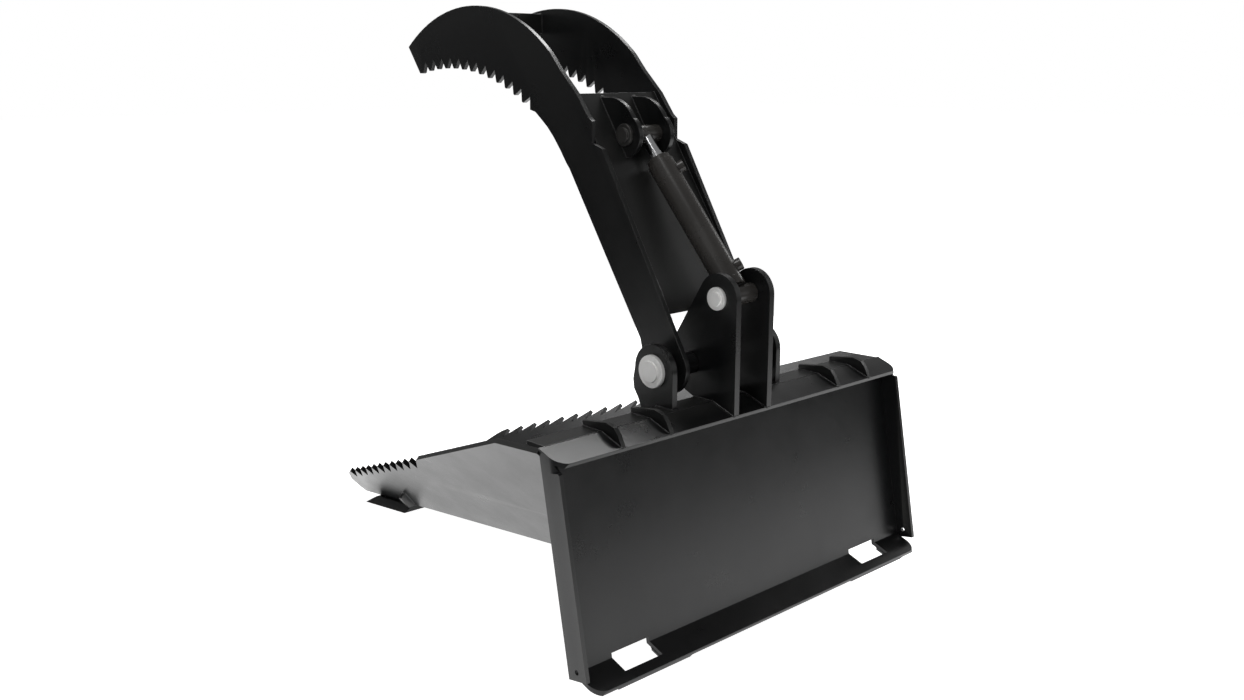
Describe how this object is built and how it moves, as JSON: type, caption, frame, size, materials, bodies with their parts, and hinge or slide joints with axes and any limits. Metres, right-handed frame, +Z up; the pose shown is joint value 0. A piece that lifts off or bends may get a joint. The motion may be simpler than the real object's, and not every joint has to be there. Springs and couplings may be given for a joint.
{
  "type": "skid steer stump bucket with grapple",
  "caption": "Narrow toothed stump bucket on a universal skid steer coupler plate, with a hydraulically closed toothed grapple arm above the trough.",
  "frame": {"origin": "middle of the coupler plate's lower bend, on the face that meets the skid steer", "axes": "+X across the attachment to the right, +Y forward from the coupler to the bucket's nose, +Z up with the lugs standing upright"},
  "size_m": [1.17, 1.4652, 1.425],
  "materials": {
    "black_powder_coat": "satin powder coat",
    "zinc_plate": "bright zinc plate",
    "dark_pin": "dark oiled steel",
    "cylinder_paint": "semi-gloss dark enamel",
    "chrome_rod": "ground hard chrome"
  },
  "bodies": {
    "frame": {"coupler_plate": "black_powder_coat", "slot_doubler_left": "black_powder_coat", "slot_doubler_right": "black_powder_coat", "ledge_plate": "black_powder_coat", "lip_rib_left_outer": "black_powder_coat", "lip_rib_left_inner": "black_powder_coat", "lip_rib_right_inner": "black_powder_coat", "lip_rib_right_outer": "black_powder_coat", "trough_floor": "black_powder_coat", "side_plate_left": "black_powder_coat", "side_plate_right": "black_powder_coat", "wing_gusset_left": "black_powder_coat", "wing_gusset_right": "black_powder_coat", "cutting_edge": "black_powder_coat", "cylinder_lug_left": "black_powder_coat", "cylinder_lug_right": "black_powder_coat", "pivot_ear_left": "black_powder_coat", "pivot_ear_right": "black_powder_coat", "base_pin": "zinc_plate", "main_pin_left": "zinc_plate", "main_pin_right": "zinc_plate"},
    "grapple": {"arm_plate_left": "black_powder_coat", "arm_plate_right": "black_powder_coat", "arm_cross_plate": "black_powder_coat", "arm_tie_plate": "black_powder_coat", "clevis_lug_left": "black_powder_coat", "clevis_lug_right": "black_powder_coat", "rod_pin_left": "dark_pin", "rod_pin_right": "dark_pin", "pivot_bushing_left": "black_powder_coat", "pivot_bushing_right": "black_powder_coat"},
    "barrel": {"barrel_tube": "cylinder_paint", "barrel_base_cap": "cylinder_paint", "barrel_base_eye": "cylinder_paint", "barrel_gland": "cylinder_paint", "port_boss_low": "cylinder_paint", "port_boss_high": "cylinder_paint"},
    "rod": {"cylinder_rod": "chrome_rod", "rod_eye": "cylinder_paint"}
  },
  "joints": [
    {"name": "grapple_pivot", "type": "hinge", "parent": "frame", "child": "grapple", "pos_m": [0, 0.164, 0.538], "axis": [-1, 0, 0], "range_deg": [0, 54]},
    {"name": "barrel_swing", "type": "hinge", "parent": "frame", "child": "barrel", "pos_m": [0, 0.084, 0.698], "axis": [-1, 0, 0], "range_deg": [0, 53.5]},
    {"name": "rod_stroke", "type": "slide", "parent": "barrel", "child": "rod", "axis": [0, 0.663, 0.7486], "range_m": [0, 0.1635]}
  ],
  "couplings": [
    {"joint": "barrel_swing", "follows": "grapple_pivot", "ratio": 0.98},
    {"joint": "rod_stroke", "follows": "grapple_pivot", "m_per_rad": 0.1718}
  ]
}
